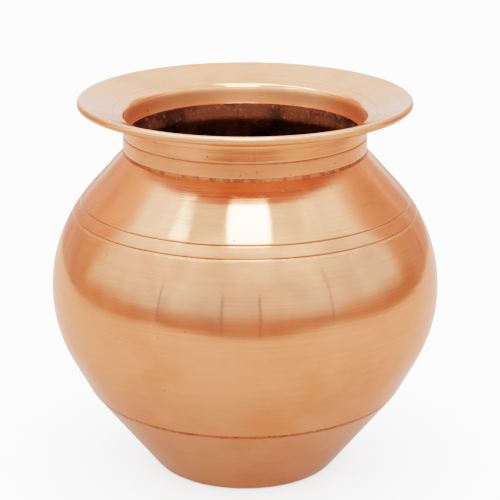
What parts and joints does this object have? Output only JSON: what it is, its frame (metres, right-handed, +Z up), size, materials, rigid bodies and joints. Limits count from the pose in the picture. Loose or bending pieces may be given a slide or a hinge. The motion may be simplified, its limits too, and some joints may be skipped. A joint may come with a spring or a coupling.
{
  "type": "kalash pot",
  "caption": "Round-bellied spun copper water pot with a short narrow neck, wide flared mouth, rolled rim and tapered flat base.",
  "frame": {"origin": "centre of the flat base, on the surface that it stands on", "axes": "+Z up along the axis of revolution, from the base to the mouth"},
  "size_m": [0.125, 0.125, 0.122],
  "materials": {
    "base_cup": "polished copper",
    "base_braze": "dull copper braze",
    "belly_shell": "polished copper",
    "neck_braze": "dull copper braze",
    "mouth_collar": "polished copper",
    "rim_wire": "copper wire"
  },
  "bodies": {
    "root": {"base_cup": "base_cup", "base_braze": "base_braze", "belly_shell": "belly_shell", "neck_braze": "neck_braze", "mouth_collar": "mouth_collar", "rim_wire": "rim_wire"}
  },
  "joints": []
}
